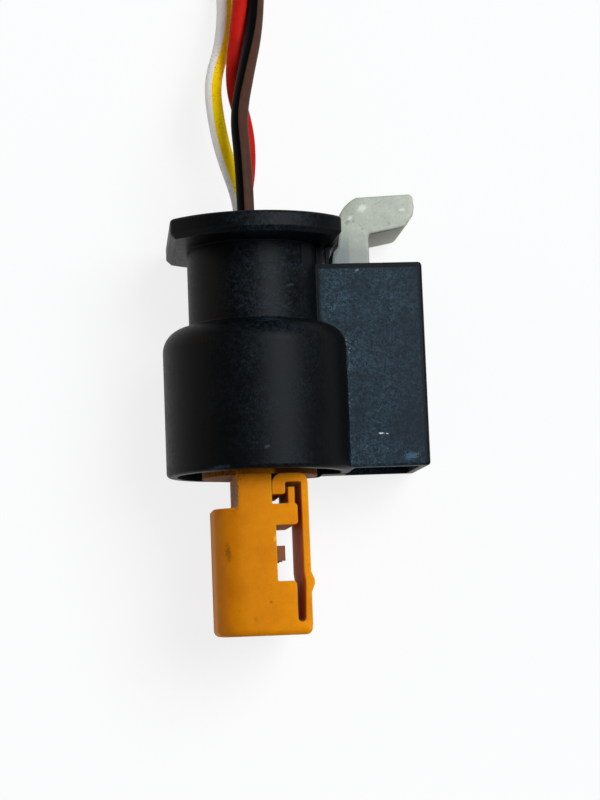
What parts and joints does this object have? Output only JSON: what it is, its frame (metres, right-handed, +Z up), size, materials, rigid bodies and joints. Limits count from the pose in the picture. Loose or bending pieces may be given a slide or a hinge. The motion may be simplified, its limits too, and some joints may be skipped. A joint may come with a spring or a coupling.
{
  "type": "wiring loom connector",
  "caption": "Round-bodied sensor plug on cut-off wires: black skirted housing with a side latch box, white locking slider and protruding orange contact carrier.",
  "frame": {"origin": "on the plug's axis, in the plane of the skirt's mouth", "axes": "+Y along the plug's axis towards the wires, +X to the latch box, +Z up; the plug lies on its back"},
  "size_m": [0.0242, 0.1178, 0.0188],
  "materials": {
    "black_housing": "moulded, fine satin",
    "orange_carrier": "moulded, satin",
    "white_slider": "moulded, natural nylon",
    "seal_rubber": "moulded silicone",
    "contact_copper": "stamped copper alloy",
    "spring_steel": "stamped, bright",
    "copper_strands": "bare strands",
    "insulation_brown": "extruded, satin",
    "insulation_yellow": "extruded, satin",
    "insulation_red": "extruded, satin"
  },
  "bodies": {
    "housing": {"outer_housing": "black_housing", "contact_carrier": "orange_carrier", "interface_seal": "seal_rubber", "rear_cover": "black_housing", "wire_seal_brown": "seal_rubber", "terminal_brown": "contact_copper", "contact_spring_brown": "spring_steel", "conductor_brown": "copper_strands", "wire_end_brown": "insulation_brown", "wire_brown": "insulation_brown", "wire_seal_yellow": "seal_rubber", "terminal_yellow": "contact_copper", "contact_spring_yellow": "spring_steel", "conductor_yellow": "copper_strands", "wire_end_yellow": "insulation_yellow", "wire_yellow": "insulation_yellow", "wire_seal_red": "seal_rubber", "terminal_red": "contact_copper", "contact_spring_red": "spring_steel", "conductor_red": "copper_strands", "wire_end_red": "insulation_red", "wire_red": "insulation_red"},
    "slider": {"lock_slider": "white_slider"}
  },
  "joints": [
    {"name": "lock_slide", "type": "slide", "parent": "housing", "child": "slider", "axis": [0, -1, 0], "range_m": [0, 0.0024]}
  ]
}
